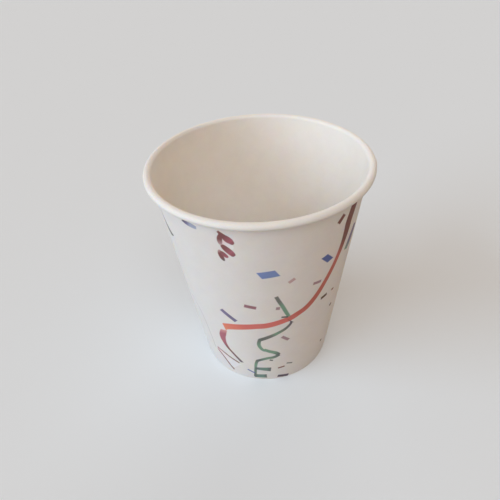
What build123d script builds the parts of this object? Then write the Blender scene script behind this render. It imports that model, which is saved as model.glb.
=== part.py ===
"""Single-wall paper cup: a wrapped side wall with a curled rim, and a base disc sealed into its foot.

The cup stands on z = 0 with its axis on Z. The photographed front is the -Y side, and the side seam
runs up the +X side, where the photo shows neither face of the wall. All sizes are millimetres.
"""
import os
from math import asin, atan2, cos, degrees, hypot, radians, sin, sqrt, tan

from build123d import *

# Overall sizes
rim_diameter = 78.0
foot_diameter = 54.5
cup_height = 88.0

# Side wall blank: board thickness, and the width of the sealed seam at the rim
wall_board = 0.33
lap_width = 6.5

# Rim curl: outside diameter, the air between two turns, and where the last half turn of board stops
curl_diameter = 2.6
curl_gap = 0.15
curl_half_turns = 3
last_half_turn_share = 0.5

# Foot: the corner radius of the fold, and the room between the flap's edge and the base disc
fold_radius = 0.3
flap_clearance = 1.5

# Side seam: where it runs round the cup, how far the lap stops short of the curl and the fold, and how
# much further round the board is followed until it is level with the wall again
seam_angle = 353
lap_end_clearance = 0.2
lap_run_out_share = 0.3

# Base blank: board thickness, height of the disc's underside, and the bend between disc and skirt
base_board = 0.3
base_recess = 7.5
base_bend_radius = 0.9

os.makedirs("parts", exist_ok=True)

# The wall leans out so that its inner face runs tangent into the curl's outside
curl_radius = curl_diameter / 2
curl_centre = Vector(rim_diameter / 2 - curl_radius, cup_height - curl_radius)
foot_radius = foot_diameter / 2
lean_run = curl_centre.X - foot_radius
lean_rise = curl_centre.Y
lean = atan2(lean_run, lean_rise) - asin((curl_radius - wall_board) / hypot(lean_run, lean_rise))
up_wall = Vector(sin(lean), cos(lean))
out_of_wall = Vector(cos(lean), -sin(lean))

# Depths of the layers in the foot, measured inward from the wall's printed face
skirt_depth = wall_board
flap_depth = skirt_depth + base_board
foot_depth = flap_depth + wall_board
flap_top = base_recess - flap_clearance


def in_wall(depth, height):
    """Point of the section that lies at a depth behind the wall's printed face, at a height."""
    return (foot_radius + height * tan(lean) - depth / cos(lean), height)


def on_turn(centre, radius, angle):
    """Point on a turn of the curl, at an angle from the wall's side over the top of the rim."""
    return centre - out_of_wall * (radius * cos(radians(angle))) + up_wall * (radius * sin(radians(angle)))


# Side seam: the blank's outer end turns about an axis pushed sideways, so that it climbs over the inner
# end across the lap, and stops one board thickness proud at its cut edge
lap_angle = lap_width / (rim_diameter / 2)
lap_start = radians(seam_angle) - lap_angle / 2
lap_end = lap_start + lap_angle
lap_reach = foot_radius * sin(lap_angle)
lap_push = sqrt(lap_reach**2 + (foot_radius + wall_board) ** 2 - foot_radius**2) - lap_reach
lap_centre = Vector(lap_push * sin(lap_end), -lap_push * cos(lap_end))
lap_plane = Plane(lap_centre, x_dir=(cos(lap_start), sin(lap_start)), z_dir=(sin(lap_start), -cos(lap_start)))
lap_bottom = fold_radius + lap_end_clearance
lap_top = cup_height - curl_diameter - lap_end_clearance

# Side wall: a revolved section of one board thickness, from the flap in the foot to the end of the curl.
# Each half turn of the curl is tighter than the one before, so that the board rolls up inside itself.
turn_step = (wall_board + curl_gap) / 2
with BuildPart() as side_wall:
    # The lap is taken two boards deep and then cut level with the inside of the wall
    with BuildSketch(lap_plane):
        with BuildLine():
            Polyline(
                in_wall(0, lap_bottom),
                in_wall(0, lap_top),
                in_wall(2 * wall_board, lap_top),
                in_wall(2 * wall_board, lap_bottom),
                close=True,
            )
        make_face()
    revolve(axis=Axis(lap_centre, (0, 0, 1)), revolution_arc=degrees(lap_angle) * (1 + lap_run_out_share))
    with BuildSketch(Plane.XZ):
        with BuildLine():
            Polyline(
                (0, lap_bottom),
                (0, lap_top),
                in_wall(wall_board, lap_top),
                in_wall(wall_board, lap_bottom),
                close=True,
            )
        make_face()
    revolve(axis=Axis.Z, mode=Mode.SUBTRACT)
    # The board from the curl down the printed face, round the foot, and up the coated face
    with BuildSketch(Plane.XZ) as wall_section:
        with BuildLine():
            printed_end = on_turn(curl_centre, curl_radius - wall_board, 0)
            coated_end = on_turn(curl_centre, curl_radius, 0)
            Polyline(
                printed_end,
                in_wall(0, 0),
                in_wall(foot_depth, 0),
                in_wall(foot_depth, flap_top),
                in_wall(flap_depth, flap_top),
                in_wall(flap_depth, wall_board),
                in_wall(skirt_depth, wall_board),
                coated_end,
            )
            centre = curl_centre
            radius = curl_radius
            for half_turn in range(curl_half_turns):
                is_last = half_turn == curl_half_turns - 1
                start = 180 * half_turn
                sweep = 180 * last_half_turn_share if is_last else 180
                angles = (start, start + sweep / 2, start + sweep)
                coated = ThreePointArc(*[on_turn(centre, radius, angle) for angle in angles])
                printed = ThreePointArc(*[on_turn(centre, radius - wall_board, angle) for angle in angles])
                radius -= turn_step
                centre -= out_of_wall * (turn_step * cos(radians(start + sweep)))
            Line(printed @ 1, coated @ 1)
        make_face()
        fillet(wall_section.vertices().group_by(Axis.Y)[0], radius=fold_radius)
    revolve(axis=Axis.Z)
side_wall.part.label = "side_wall"
export_step(side_wall.part, "parts/side_wall.step")

# Base disc: the disc across the cup, bent down into the skirt that fills the fold of the foot
with BuildPart() as base_disc:
    with BuildSketch(Plane.XZ) as base_section:
        base_top = base_recess + base_board
        with BuildLine():
            Polyline(
                (0, base_recess),
                (0, base_top),
                in_wall(skirt_depth, base_top),
                in_wall(skirt_depth, wall_board),
                in_wall(flap_depth, wall_board),
                in_wall(flap_depth, base_recess),
                close=True,
            )
        make_face()
        underside_corner = base_section.vertices().group_by(Axis.Y)[1].sort_by(Axis.X)[-1]
        fillet(underside_corner, radius=base_bend_radius - base_board)
        top_corner = base_section.vertices().group_by(Axis.Y)[-1].sort_by(Axis.X)[-1]
        fillet(top_corner, radius=base_bend_radius)
    revolve(axis=Axis.Z)
base_disc.part.label = "base_disc"
export_step(base_disc.part, "parts/base_disc.step")
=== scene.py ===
from math import asin, atan2, cos, hypot, pi, radians, sin, sqrt, tan

import bpy
from mathutils import Matrix, Vector


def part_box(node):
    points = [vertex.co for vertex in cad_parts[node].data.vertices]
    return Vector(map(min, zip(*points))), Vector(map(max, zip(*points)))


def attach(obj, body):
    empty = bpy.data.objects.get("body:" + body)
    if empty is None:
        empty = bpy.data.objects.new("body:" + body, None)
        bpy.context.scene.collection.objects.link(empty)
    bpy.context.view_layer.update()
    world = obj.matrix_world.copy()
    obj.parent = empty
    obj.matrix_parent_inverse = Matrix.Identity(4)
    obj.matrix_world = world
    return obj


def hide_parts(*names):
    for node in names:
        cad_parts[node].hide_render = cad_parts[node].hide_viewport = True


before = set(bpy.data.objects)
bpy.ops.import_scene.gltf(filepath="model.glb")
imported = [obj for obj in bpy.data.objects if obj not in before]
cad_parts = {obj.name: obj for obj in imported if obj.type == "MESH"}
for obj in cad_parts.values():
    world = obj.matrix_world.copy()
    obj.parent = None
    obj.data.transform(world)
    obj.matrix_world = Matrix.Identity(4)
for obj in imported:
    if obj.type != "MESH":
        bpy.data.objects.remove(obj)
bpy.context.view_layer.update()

# Side wall
# One fan-shaped blank of coated cup board, printed outside, wrapped into a cone and sealed along a lapped
# seam. Its top edge is curled outward into the rim, and its bottom edge is folded in and up, round the skirt
# of the base.
mm = 0.001
cup_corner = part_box("side_wall")[1]
rim_radius = cup_corner.x
cup_height = cup_corner.z
foot_radius = 27.25 * mm
wall_board = 0.33 * mm
base_board = 0.3 * mm
curl_radius = 1.3 * mm
curl_gap = 0.15 * mm
fold_radius = 0.36 * mm
flap_top = 6 * mm

# The wall leans so that its coated face runs straight into the outside of the curl
lean_run = rim_radius - curl_radius - foot_radius
lean_rise = cup_height - curl_radius
printed_curl_radius = curl_radius - wall_board
lean = atan2(lean_run, lean_rise) - asin(printed_curl_radius / hypot(lean_run, lean_rise))


class BoardFace:
    """One face of a board in section, followed from cut edge to cut edge in straight runs and bends."""

    def __init__(self, radius, height, heading):
        self.points = [Vector((radius, height))]
        self.heading = heading

    def run(self, length, steps=1):
        step = Vector((cos(self.heading), sin(self.heading))) * (length / steps)
        for _ in range(steps):
            self.points.append(self.points[-1] + step)

    def bend(self, radius, turn, steps):
        """Bends to the left by a turn in radians, or to the right where it is negative."""
        half_step = turn / steps / 2
        for _ in range(steps):
            self.heading += half_step
            self.run(2 * radius * sin(abs(half_step)))
            self.heading += half_step


# The printed face, from the flap's edge down the inside of the foot, round the fold, up the wall and into
# the curl
foot_depth = (2 * wall_board + base_board) / cos(lean)
inner_turn = pi / 2 + lean
outer_turn = pi / 2 - lean
inner_corner = fold_radius * tan(inner_turn / 2)
outer_corner = fold_radius * tan(outer_turn / 2)
wall_length = sqrt(lean_run**2 + lean_rise**2 - printed_curl_radius**2) - outer_corner
even_row = 0.25 * mm
under_curl = 1.6 * mm
wall_rows = 40
turn_step = (wall_board + curl_gap) / 2
printed_face = BoardFace(foot_radius + flap_top * tan(lean) - foot_depth, flap_top, -inner_turn)
printed_face.run(flap_top / cos(lean) - inner_corner, steps=6)
printed_face.bend(fold_radius, inner_turn, steps=8)
printed_face.run(foot_depth - inner_corner - outer_corner)
printed_face.bend(fold_radius, outer_turn, steps=8)
printed_face.run(even_row)
printed_face.run(2 * even_row)
printed_face.run(wall_length - 5 * even_row - under_curl, wall_rows)
printed_face.run(2 * even_row)
printed_face.run(under_curl - even_row)
printed_face.run(even_row)
printed_face.bend(printed_curl_radius, -pi, steps=20)
printed_face.bend(printed_curl_radius - turn_step, -pi, steps=16)
printed_face.bend(printed_curl_radius - 2 * turn_step, -pi / 2, steps=6)

columns = 240
column_turn = 2 * pi / columns


def turned(name, points):
    """Adds a ring at a section's first point and extrudes it round the cup's axis from point to point."""
    bpy.ops.object.select_all(action="DESELECT")
    bpy.ops.mesh.primitive_circle_add(vertices=columns, radius=points[0].x, location=(0, 0, points[0].y))
    piece = bpy.context.object
    piece.name = name
    bpy.ops.object.transform_apply()
    bpy.ops.object.mode_set(mode="EDIT")
    for last, point in zip(points, points[1:]):
        widening = point.x / last.x
        bpy.ops.mesh.extrude_edges_move(TRANSFORM_OT_translate={"value": (0, 0, point.y - last.y)})
        bpy.ops.transform.resize(value=(widening, widening, 1), center_override=(0, 0, point.y))
    return piece


def choose(piece, kind, test):
    """In edit mode, selects only the vertices or faces of a piece whose place passes a test."""
    bpy.ops.mesh.select_all(action="DESELECT")
    bpy.ops.mesh.select_mode(type={"vertices": "VERT", "polygons": "FACE"}[kind])
    bpy.ops.object.mode_set(mode="OBJECT")
    for element in getattr(piece.data, kind):
        element.select = test(element.co if kind == "vertices" else element.center)
    bpy.ops.object.mode_set(mode="EDIT")


def column_at(place):
    """Columns from +X round to a place, with a part of a column for a place between two."""
    return atan2(place.y, place.x) / column_turn % columns


def depth_at(place):
    """How far a place lies behind the wall's printed face."""
    return (foot_radius + place.z * tan(lean) - hypot(place.x, place.y)) * cos(lean)


wall = turned("printed_wall", printed_face.points)

# Side seam: the board's outer end lies on the inner end across the lap, and settles back to the cone
# beyond it
lap_width = 6.5 * mm
seam_turn = radians(353)
lap_columns = round(lap_width / rim_radius / column_turn)
lap_start = round(seam_turn / column_turn - lap_columns / 2)
lap_end = lap_start + lap_columns
split_low = 0.5 * mm
split_high = cup_height - 1.4 * mm
lap_low = 1 * mm
lap_high = cup_height - 2.7 * mm
settling_columns = 3
seal_gap = 0.01 * mm
lap_lift = wall_board + seal_gap
face_slack = wall_board / 4
column_slack = 0.25


def on_column(place, column):
    return abs(column_at(place) - column) < column_slack


choose(wall, "vertices", lambda place: on_column(place, lap_start) and split_low < place.z < split_high
       and depth_at(place) < wall_board)
bpy.ops.mesh.edge_split(type="EDGE")
choose(wall, "polygons", lambda place: lap_start < column_at(place) < lap_end
       and lap_low < place.z < lap_high and depth_at(place) < wall_board)
bpy.ops.transform.shrink_fatten(value=lap_lift)
for step in range(1, settling_columns):
    choose(wall, "vertices", lambda place: on_column(place, lap_end + step)
           and lap_low < place.z < lap_high and depth_at(place) < wall_board)
    bpy.ops.transform.shrink_fatten(value=lap_lift * (1 - step / settling_columns))
choose(wall, "vertices", lambda place: on_column(place, lap_start) and abs(depth_at(place)) < face_slack
       and lap_low < place.z < split_high)
for _ in range(lap_columns):
    bpy.ops.mesh.extrude_edges_move()
    bpy.ops.transform.rotate(value=-column_turn, orient_axis="Z", center_override=(0, 0, 0))

# The tool that seals the foot presses upright ribs into the flap
rib_shrink = 0.9965
rib_low = 1 * mm
choose(wall, "vertices", lambda place: round(column_at(place)) % 2 and depth_at(place) > foot_depth / 2
       and rib_low < place.z < flap_top - rib_low)
bpy.ops.transform.resize(value=(rib_shrink, rib_shrink, 1), center_override=(0, 0, 0))


class Shade:
    """A socket in a material's nodes. Sums written with it in Python become Math nodes."""

    def __init__(self, socket):
        self.socket = socket

    def node(self, kind, settings, inputs, output=0):
        """Adds a node beside this socket: first its settings, then the values and links of its sockets."""
        tree = self.socket.id_data
        node = tree.nodes.new(kind)
        for name, value in settings.items():
            if name == "stops":
                ramp = node.color_ramp.elements
                while len(ramp) < len(value):
                    ramp.new(1)
                for stop, (position, colour) in zip(ramp, value):
                    stop.position = position
                    stop.color = (*colour, 1)
            elif name == "curve":
                line = node.mapping.curves[0].points
                while len(line) < len(value):
                    line.new(1, 1)
                for point, place in zip(line, value):
                    point.location = place
                node.mapping.update()
            else:
                setattr(node, name, value)
        for name, value in inputs.items():
            if isinstance(value, Shade):
                tree.links.new(value.socket, node.inputs[name])
            else:
                node.inputs[name].default_value = value
        return Shade(node.outputs[output])

    def math(self, operation, *values):
        return self.node("ShaderNodeMath", {"operation": operation}, dict(enumerate(values)))

    def vector(self, operation, inputs, output=0):
        return self.node("ShaderNodeVectorMath", {"operation": operation}, inputs, output)

    def mix(self, first, second):
        """Goes from one colour to another by this share. A Mix node keeps its colours in sockets 6, 7 and 2."""
        return self.node("ShaderNodeMix", {"data_type": "RGBA"}, {0: self, 6: first, 7: second}, 2)

    def __add__(self, other):
        return self.math("ADD", self, other)

    def __sub__(self, other):
        return self.math("SUBTRACT", self, other)

    def __rsub__(self, other):
        return self.math("SUBTRACT", other, self)

    def __mul__(self, other):
        return self.math("MULTIPLY", self, other)

    def __truediv__(self, other):
        return self.math("DIVIDE", self, other)

    def __abs__(self):
        return self.math("ABSOLUTE", self)

    __radd__ = __add__
    __rmul__ = __mul__


class CupBoard:
    """A finish of pale coated cup board: cloudy pulp and fine fibres, thin enough to let light through."""

    cloud_scale = 170
    fibre_scale = 1500
    noise_roughness = 0.6
    fibre_matting = 0.12
    cloud_matting = 0.1
    shine = 0.3
    light_depth = 0.25 * mm
    colour_depths = (1, 0.85, 0.65)

    def __init__(self, name, colour, cloudiness, roughness, relief):
        self.material = bpy.data.materials.new(name)
        self.material.use_nodes = True
        nodes = self.material.node_tree.nodes
        self.shader = nodes["Principled BSDF"]
        self.place = Shade(nodes.new("ShaderNodeTexCoord").outputs["Object"])
        cloud = self.noise(self.cloud_scale, detail=4) - 0.5
        fibre = self.noise(self.fibre_scale, detail=3) - 0.5
        small_cloud = self.noise(self.cloud_scale * 2, detail=2) - 0.5
        self.tone = 1 + cloud * cloudiness + fibre * (cloudiness / 2)
        self.dye(colour)
        self.feed("Roughness", roughness + fibre * self.fibre_matting + small_cloud * self.cloud_matting)
        surface = {"Height": fibre + cloud * 2, "Distance": relief}
        self.feed("Normal", self.place.node("ShaderNodeBump", {}, surface, "Normal"))
        self.shader.inputs["Specular IOR Level"].default_value = self.shine
        self.shader.inputs["Subsurface Weight"].default_value = 1
        self.shader.inputs["Subsurface Radius"].default_value = self.colour_depths
        self.shader.inputs["Subsurface Scale"].default_value = self.light_depth

    def noise(self, scale, detail):
        grain = {"Vector": self.place, "Scale": scale, "Detail": detail, "Roughness": self.noise_roughness}
        return self.place.node("ShaderNodeTexNoise", {}, grain, "Fac")

    def dye(self, colour):
        """Colours the board through its own cloudy tone."""
        self.feed("Base Color", self.place.vector("SCALE", {0: colour, "Scale": self.tone}))

    def feed(self, socket, value):
        self.material.node_tree.links.new(value.socket, self.shader.inputs[socket])


bare_board = (0.87, 0.85, 0.83)
outside = CupBoard("printed_board", bare_board, 0.08, 0.5, 0.012 * mm)
inside = CupBoard("coated_board", (0.905, 0.875, 0.835), 0.08, 0.56, 0.02 * mm)
cut_edge = CupBoard("cut_board", (0.78, 0.73, 0.66), 0.25, 0.8, 0.03 * mm)

# Where each place was on the flat blank, in millimetres across from the front and up from the foot.
# The print repeats twice round the cup, from the seam.
repeats = 2
tip_height = -foot_radius / tan(lean)
foot_slant = foot_radius / sin(lean)
repeat_turn = 2 * pi / repeats
repeat_start = lap_start * column_turn + pi / 2 - 2 * pi - repeat_turn
axes = outside.place.node("ShaderNodeSeparateXYZ", {}, {0: outside.place}).socket.node.outputs
x_part = Shade(axes["X"])
y_part = Shade(axes["Y"])
front_turn = x_part.math("ARCTAN2", x_part, y_part * -1)
repeat = front_turn.math("FLOORED_MODULO", front_turn - repeat_start, repeat_turn) + repeat_start
blank_turn = repeat * sin(lean)
from_tip = outside.place.vector("SUBTRACT", {0: outside.place, 1: (0, 0, tip_height)})
slant = from_tip.vector("LENGTH", {0: from_tip}, "Value")
across = slant * blank_turn.math("SINE", blank_turn) / mm
up = (slant * blank_turn.math("COSINE", blank_turn) - foot_slant) / mm
blank = across.node("ShaderNodeCombineXYZ", {}, {"X": across, "Y": up})

# Inks
red = (0.77, 0.22, 0.19)
deep_red = (0.6, 0.17, 0.13)
orange = (0.88, 0.29, 0.19)
coral = (0.82, 0.42, 0.38)
brown = (0.25, 0.1, 0.08)
umber = (0.13, 0.07, 0.05)
maroon = (0.3, 0.12, 0.12)
rose = (0.5, 0.18, 0.22)
dull_rose = (0.39, 0.2, 0.23)
mauve = (0.46, 0.31, 0.34)
pale_rose = (0.65, 0.46, 0.46)
pale_pink = (0.9, 0.76, 0.77)
green = (0.25, 0.42, 0.31)
dull_green = (0.21, 0.33, 0.29)
dusk_green = (0.24, 0.25, 0.23)
slate = (0.17, 0.18, 0.18)
blue = (0.26, 0.35, 0.64)
deep_blue = (0.13, 0.18, 0.46)
pale_blue = (0.46, 0.5, 0.64)
violet = (0.25, 0.22, 0.36)
dark_violet = (0.16, 0.13, 0.17)
grey = (0.45, 0.43, 0.41)
pale_grey = (0.7, 0.68, 0.66)
ink_edge = 0.18


def laid_on(under, ink, gap):
    """Lays ink over a colour where the gap to its shape is below zero, with a soft edge."""
    limits = {"Value": gap, "From Min": ink_edge, "From Max": -ink_edge}
    mask = gap.node("ShaderNodeMapRange", {"interpolation_type": "SMOOTHSTEP"}, limits)
    return mask.mix(under, ink)


def along_blank(direction, start):
    """How far a place on the blank is from a start, along a direction."""
    reach = blank.vector("DOT_PRODUCT", {0: blank, 1: (*direction, 0)}, "Value")
    return reach - Vector(start).dot(direction)


def confetti(under, ink, middle, side, other_side):
    """A scrap of coloured paper: a parallelogram about its middle, with two of its sides."""
    gaps = []
    for edge, other in ((Vector(side), Vector(other_side)), (Vector(other_side), Vector(side))):
        out = Vector((edge.y, -edge.x)).normalized()
        gaps.append(abs(along_blank(out, middle)) - abs(out.dot(other)) / 2)
    return laid_on(under, (*ink, 1), blank.math("MAXIMUM", *gaps))


def strip(under, ink, start, end, width):
    """A straight scrap of streamer, from end to end."""
    side = Vector(end) - Vector(start)
    middle = (Vector(start) + Vector(end)) / 2
    return confetti(under, ink, middle, side, Vector((-side.y, side.x)).normalized() * width)


def streamer(under, inks, route):
    """A paper streamer along a smooth route of places and widths, with inks at shares of its length."""
    start, end = Vector(route[0][:2]), Vector(route[-1][:2])
    length = (end - start).length
    forward = (end - start) / length
    sideways = Vector((-forward.y, forward.x))
    share = along_blank(forward / length, start)
    swing = along_blank(sideways, start)
    places = [Vector(point[:2]) - start for point in route]
    widest = max(width for _, _, width in route)
    room = 2 * max(1, *(abs(place.dot(sideways)) for place in places))
    middles = [(place.dot(forward) / length, 0.5 + place.dot(sideways) / room) for place in places]
    widths = [(where, width / widest) for (where, _), (_, _, width) in zip(middles, route)]

    def curve(points, shift=0):
        where = share.node("ShaderNodeClamp", {}, {"Value": share + shift})
        return share.node("ShaderNodeFloatCurve", {"curve": points}, {"Value": where})

    near = 1 / 128
    slope = (curve(middles, near) - curve(middles, -near)) * (room / length / near / 2)
    beside = abs(swing - (curve(middles) - 0.5) * room) / share.math("SQRT", slope * slope + 1)
    beside = beside - curve(widths) * (widest / 2)
    beyond = (abs(share - 0.5) - 0.5) * length
    ink = share.node("ShaderNodeValToRGB", {"stops": inks}, {"Fac": share})
    return laid_on(under, ink, share.math("MAXIMUM", beside, beyond))


print_colour = (*bare_board, 1)

# A long red streamer swings down from the rim on the right to a square end at the left
print_colour = streamer(
    print_colour,
    [(0, brown), (0.3, brown), (0.42, deep_red), (0.8, deep_red), (1, red)],
    [(34.2, 84, 4), (32.6, 79.4, 4.2), (31.4, 75.6, 4.1), (30.8, 71.5, 3.7), (29.6, 66.7, 3),
     (27.4, 61.3, 2.6), (22.7, 53.4, 2.5), (17.3, 46.3, 2.7), (11.2, 42.3, 2.8), (6, 40.3, 2.9)],
)
print_colour = streamer(
    print_colour,
    [(0, red), (0.6, red), (1, orange)],
    [(7.4, 40.8, 2.8), (1, 39, 2.9), (-5.3, 37.9, 3), (-11, 36.1, 3.2), (-16.2, 33.3, 3.4)],
)

# Its rose-coloured end twists back under it to the foot, with a pale back between two dark edges
print_colour = streamer(
    print_colour,
    [(0, pale_pink)],
    [(-22.2, 12.6, 0.4), (-18.8, 10.5, 3.6), (-15.8, 8.2, 5.2), (-13.2, 6.1, 7.4)],
)
print_colour = streamer(
    print_colour,
    [(0, coral), (0.12, rose), (0.4, rose), (0.6, brown), (1, dark_violet)],
    [(-16.6, 31, 2.4), (-17.4, 28, 2.9), (-17.8, 25, 2.8), (-17.4, 22, 2.1), (-16.1, 18.8, 1.4),
     (-14.5, 16.7, 1.1), (-10.4, 11.1, 1.3)],
)
for route in (
    [(-22.3, 13.3, 1), (-18.8, 12.8, 0.8), (-15.5, 11.5, 0.8), (-11.7, 9.9, 0.8)],
    [(-22.3, 12, 1), (-18.9, 8.3, 0.8), (-16.7, 5, 0.8), (-14.7, 2.3, 0.9)],
):
    print_colour = streamer(print_colour, [(0, rose), (0.4, brown), (1, brown)], route)

# A green streamer comes down to the red one and coils up below it, dark where it turns over
for inks, route in (
    ([(0, dusk_green), (0.25, dusk_green), (0.45, green), (1, green)],
     [(3.8, 54.8, 1.3), (4.9, 51.8, 1.4), (5.9, 49.3, 1.4), (7, 46.1, 1.4), (8.3, 42.4, 1.3)]),
    ([(0, dark_violet), (0.3, dusk_green), (0.55, green), (0.7, dusk_green), (1, slate)],
     [(8.8, 39.8, 0.9), (7.9, 36.2, 1.3), (4, 33.3, 1.6), (1.4, 31.8, 1.8), (-2.4, 29.7, 1.8)]),
    ([(0, slate), (0.5, green), (1, green)],
     [(-1.4, 30.6, 1.4), (-2.8, 28.3, 1.4), (-2.6, 24.9, 1.4), (0, 21.8, 1.3)]),
    ([(0, green), (0.6, green), (1, slate)],
     [(-1.2, 23.1, 1.6), (1, 21.6, 1.8), (3.4, 20.1, 1.9), (4.6, 18.3, 1.6)]),
    ([(0, slate), (0.5, green), (1, slate)],
     [(4.7, 18.9, 1.4), (3.1, 17.4, 1.7), (-0.4, 16.5, 1.6), (-4.2, 14.5, 1.5)]),
    ([(0, slate), (0.3, green), (1, slate)],
     [(-3.4, 15.3, 1.3), (-4.5, 12.6, 1.2), (-4.9, 8.6, 1.1), (-5.3, 1.8, 1.1)]),
    ([(0, slate), (0.35, dull_green), (0.75, dull_green), (1, slate)],
     [(-5, 8.5, 1.6), (-2.4, 8.4, 2.2), (1.3, 7.9, 3)]),
    ([(0, slate), (0.3, dull_green), (0.75, dull_green), (1, slate)],
     [(-5.6, 2.5, 2.5), (-3, 2.6, 2.6), (-0.5, 2.7, 2.8)]),
):
    print_colour = streamer(print_colour, inks, route)

# A short curled ribbon, with its pale back between the turns
for inks, route in (
    ([(0, pale_pink)], [(-12, 79.4, 0.6), (-10.4, 78.6, 2.8), (-8.7, 77.2, 1)]),
    ([(0, maroon), (0.4, maroon), (0.8, rose), (1, maroon)],
     [(-12.9, 83.5, 0.8), (-11.4, 82, 1.7), (-10, 80.7, 2.5), (-9, 79.8, 1.9), (-8.4, 79.1, 0.5)]),
    ([(0, maroon), (0.3, maroon), (0.7, rose), (1, maroon)],
     [(-12.3, 78.2, 0.5), (-10.9, 76.7, 2.2), (-9.5, 75.3, 2.2), (-8.5, 74.1, 0.5)]),
    ([(0, maroon), (0.5, maroon), (1, pale_rose)], [(-12, 82.6, 1), (-12.6, 80.2, 1.7), (-12.5, 78, 0.5)]),
    ([(0, pale_rose), (0.3, maroon), (0.7, maroon), (1, slate)],
     [(-13.2, 75.8, 0.5), (-12.9, 73.6, 1.6), (-12, 71.2, 0.5)]),
    ([(0, maroon), (1, rose)], [(-12.8, 75.2, 0.6), (-11.7, 74, 1.6), (-10.6, 73, 0.5)]),
):
    print_colour = streamer(print_colour, inks, route)

# Loose confetti, and ends of thin streamers at the sides
print_colour = confetti(print_colour, blue, (1.5, 66.1), (5.8, 0.7), (1.7, -2.9))
print_colour = confetti(print_colour, deep_blue, (22.3, 65), (2.7, 0.5), (3, -3.8))
for inks, route in (
    ([(0, dark_violet), (0.35, violet), (0.6, pale_blue), (1, pale_blue)],
     [(-25.6, 82.9, 1), (-23.7, 82.5, 1.6), (-22, 82.4, 1.8), (-20.1, 82.2, 1.2)]),
    ([(0, violet), (0.6, violet), (1, green)], [(38.2, 68.9, 3.4), (35.6, 63.9, 4), (33.2, 60.6, 3)]),
    ([(0, pale_grey), (0.5, grey), (1, slate)],
     [(-40.4, 77.6, 1), (-38.9, 73.6, 2), (-37, 71.2, 2.4), (-34.4, 69.9, 1.4)]),
    ([(0, pale_grey), (1, pale_grey)],
     [(-33.8, 38, 0.5), (-30.5, 35.8, 0.5), (-27.7, 30.7, 0.5), (-25.7, 23, 0.6), (-23.7, 11.5, 0.6)]),
):
    print_colour = streamer(print_colour, inks, route)
for ink, start, end, width in (
    (violet, (-16.2, 44.3), (-10.7, 39.7), 1.8),
    (dull_rose, (-7.1, 50), (-3, 49.2), 1.6),
    (pale_rose, (8, 60.8), (10.1, 62.2), 1.3),
    (mauve, (17.1, 55.8), (20.5, 55), 1.3),
    (slate, (5.6, 42.9), (8, 42.4), 0.9),
    (mauve, (3.7, 48.4), (5.1, 48.2), 1.5),
    (mauve, (5.8, 30.6), (8.4, 27.7), 1.4),
    (umber, (21.5, 44.2), (24.6, 44.4), 1.5),
    (brown, (27.4, 44.1), (28.9, 43.4), 0.9),
    (umber, (28.2, 33.2), (29.5, 33.6), 1.3),
    (umber, (25.3, 11.1), (26.4, 11.1), 1.2),
    (brown, (25.3, 78.4), (27.7, 80.7), 1.9),
    (deep_blue, (-8.3, 6.6), (-5.4, 4.7), 0.7),
    (brown, (4.2, 8.3), (6.9, 8.8), 0.9),
    (slate, (7.8, 10.7), (10.2, 9.6), 0.7),
    (slate, (0.9, 15.3), (2.2, 14.8), 0.9),
    (dark_violet, (4, 1.9), (8.6, 0.8), 1.8),
):
    print_colour = strip(print_colour, ink, start, end, width)
outside.dye(print_colour)

# The flap in the foot is bare, and the wall gets its thickness with the coated face inside and cut edges
for finish in (outside, inside, cut_edge):
    wall.data.materials.append(finish.material)
choose(wall, "polygons", lambda place: depth_at(place) > foot_depth / 2 and place.z < flap_top)
wall.active_material_index = 1
bpy.ops.object.material_slot_assign()
bpy.ops.object.mode_set(mode="OBJECT")


def thicken(piece, board):
    """Gives a face its board, behind it, and smooths all but the cut edges."""
    crease_turn = radians(50)
    solid = piece.modifiers.new("board", "SOLIDIFY")
    solid.thickness = board
    solid.offset = -1
    solid.use_even_offset = True
    solid.material_offset = 1
    solid.material_offset_rim = 2
    bpy.ops.object.modifier_apply(modifier=solid.name)
    bpy.ops.object.shade_smooth_by_angle(angle=crease_turn)


thicken(wall, wall_board)

# Under the curl the two boards of the seam are pressed into one, which thickens the curl a little
pressed_gap = 0.08 * mm
curl_swell = 1.003
bpy.ops.object.mode_set(mode="EDIT")
choose(wall, "polygons", lambda place: lap_start < round(column_at(place), 1) < lap_end
       and lap_high < place.z < split_high and -face_slack < depth_at(place) < wall_board - face_slack)
bpy.ops.mesh.delete(type="FACE")
choose(wall, "vertices", lambda place: lap_start <= round(column_at(place)) <= lap_end
       and lap_high - even_row < place.z < split_high and abs(depth_at(place)) < 2 * wall_board)
bpy.ops.mesh.remove_doubles(threshold=pressed_gap)
choose(wall, "vertices", lambda place: lap_start < round(column_at(place)) < lap_end - 1
       and place.z > cup_height - 2 * curl_radius)
bpy.ops.transform.resize(value=(curl_swell, curl_swell, 1), center_override=(0, 0, 0))
bpy.ops.object.mode_set(mode="OBJECT")
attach(wall, "root")
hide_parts("side_wall")

# Base disc
# A round blank of plain coated board, pressed into a shallow tray. Its edge is bent down into a skirt, which
# is heat-sealed between the wall and the folded-up flap of the foot.
base_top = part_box("base_disc")[1].z
base_bend_radius = 0.9 * mm
skirt_low = wall_board
skirt_depth = wall_board / cos(lean)
disc_rings = 12
bend_corner = base_bend_radius * tan(inner_turn / 2)
skirt_radius = foot_radius + skirt_low * tan(lean) - skirt_depth
disc_radius = foot_radius + base_top * tan(lean) - skirt_depth
coated_face = BoardFace(skirt_radius, skirt_low, outer_turn)
coated_face.run((base_top - skirt_low) / cos(lean) - bend_corner, steps=3)
coated_face.bend(base_bend_radius, inner_turn, steps=10)
coated_face.run(even_row)
coated_face.run(disc_radius - bend_corner - 2 * even_row, disc_rings)
base = turned("pressed_base", coated_face.points)
bpy.ops.mesh.merge(type="CENTER")
bpy.ops.object.mode_set(mode="OBJECT")
for finish in (inside, inside, cut_edge):
    base.data.materials.append(finish.material)
thicken(base, base_board)
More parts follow.
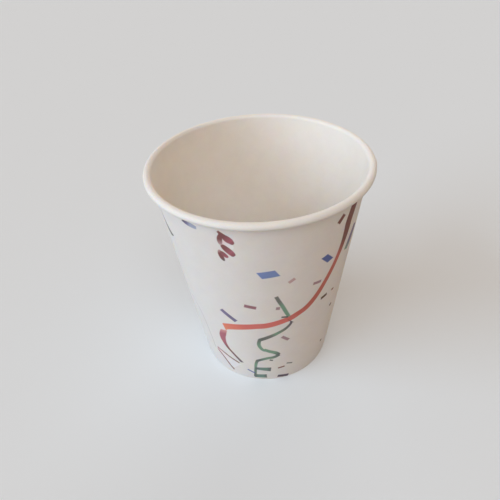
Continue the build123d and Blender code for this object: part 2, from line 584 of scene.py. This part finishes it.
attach(base, "root")
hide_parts("base_disc")

# Floor and light
# A plain pale sheet under the cup, which keeps its shadow, a broad soft lamp low on the left, weaker ones
# above the front and behind, and even warm light from all round.
bpy.ops.object.select_all(action="DESELECT")
floor_width = 8
bpy.ops.mesh.primitive_plane_add(size=floor_width)
floor = bpy.context.object
floor.name = "floor"
sheet = bpy.data.materials.new("floor_sheet")
sheet.use_nodes = True
sheet_nodes = sheet.node_tree.nodes
sheet_shader = sheet_nodes["Principled BSDF"]
sheet_shader.inputs["Roughness"].default_value = 0.9
sheet_shader.inputs["Specular IOR Level"].default_value = 0

# The sheet looks pale and throws less light back on the cup. It can be looked through from below, and under
# the foot it lets light in to the base.
sheet_seen = (0.83, 0.885, 0.925, 1)
sheet_bounce = (0.45, 0.45, 0.45, 1)
eye = Shade(sheet_nodes.new("ShaderNodeLightPath").outputs["Is Camera Ray"])
sheet_colour = eye.mix(sheet_bounce, sheet_seen)
sheet.node_tree.links.new(sheet_colour.socket, sheet_shader.inputs["Base Color"])
under_side = Shade(sheet_nodes.new("ShaderNodeNewGeometry").outputs["Backfacing"])
sheet_place = Shade(sheet_nodes.new("ShaderNodeTexCoord").outputs["Object"])
from_middle = sheet_place.vector("LENGTH", {0: sheet_place}, "Value")
under_foot = from_middle.math("LESS_THAN", from_middle, foot_radius) * (1 - eye)
clear = eye.node("ShaderNodeBsdfTransparent", {}, {})
one_sided = eye.node(
    "ShaderNodeMixShader",
    {},
    {0: eye.math("MAXIMUM", under_side, under_foot), 1: Shade(sheet_shader.outputs["BSDF"]), 2: clear},
)
sheet.node_tree.links.new(one_sided.socket, sheet_nodes["Material Output"].inputs["Surface"])
floor.data.materials.append(sheet)

lamp_spread = radians(50)
for name, off_plumb, round_cup, energy, colour in (
    ("left_lamp", 70, -70, 2.03, (0.67, 0.84, 1)),
    ("front_lamp", 35, 0, 0.97, (0.86, 0.93, 1)),
    ("back_lamp", 75, 165, 0.65, (0.9, 0.95, 1)),
):
    bpy.ops.object.light_add(type="SUN", rotation=(radians(off_plumb), 0, radians(round_cup)))
    lamp = bpy.context.object
    lamp.name = name
    lamp.data.energy = energy
    lamp.data.angle = lamp_spread
    lamp.data.color = colour

room_colour = (1, 0.68, 0.42, 1)
room_strength = 0.36
backdrop_grey = (0.64, 0.64, 0.64, 1)
world = bpy.context.scene.world or bpy.data.worlds.new("room")
bpy.context.scene.world = world
world.use_nodes = True
room_nodes = world.node_tree.nodes
room_light = room_nodes["Background"]
room_light.inputs["Color"].default_value = room_colour
room_light.inputs["Strength"].default_value = room_strength
path = room_nodes.new("ShaderNodeLightPath").outputs
seen = Shade(path["Is Camera Ray"])
for ray in ("Is Glossy Ray", "Is Transmission Ray"):
    seen = seen.math("MAXIMUM", seen, Shade(path[ray]))
backdrop = seen.node("ShaderNodeBackground", {}, {"Color": backdrop_grey, "Strength": 1})
room_view = seen.node(
    "ShaderNodeMixShader", {}, {0: seen, 1: Shade(room_light.outputs["Background"]), 2: backdrop}
)
world.node_tree.links.new(room_view.socket, room_nodes["World Output"].inputs["Surface"])
bpy.context.scene.view_settings.view_transform = "Standard"

# Camera
# Close in front of the cup and above it, as the photograph was taken, turned a little to the left.
camera_distance = 174.07 * mm
camera_rise = radians(40.3)
aim_height = cup_height / 2
turn_aside = radians(1.65)
tilt_up = radians(0.98)
roll = radians(2.53)
lens = 31.1
camera_data = bpy.data.cameras.new("camera")
camera_data.lens = lens
camera_data.clip_start = 10 * mm
camera = bpy.data.objects.new("camera", camera_data)
bpy.context.scene.collection.objects.link(camera)
camera.location = (0, -camera_distance * cos(camera_rise), aim_height + camera_distance * sin(camera_rise))
camera.rotation_euler = (
    Matrix.Rotation(pi / 2 - camera_rise, 3, "X")
    @ Matrix.Rotation(turn_aside, 3, "Y")
    @ Matrix.Rotation(tilt_up, 3, "X")
    @ Matrix.Rotation(-roll, 3, "Z")
).to_euler()
bpy.context.scene.camera = camera
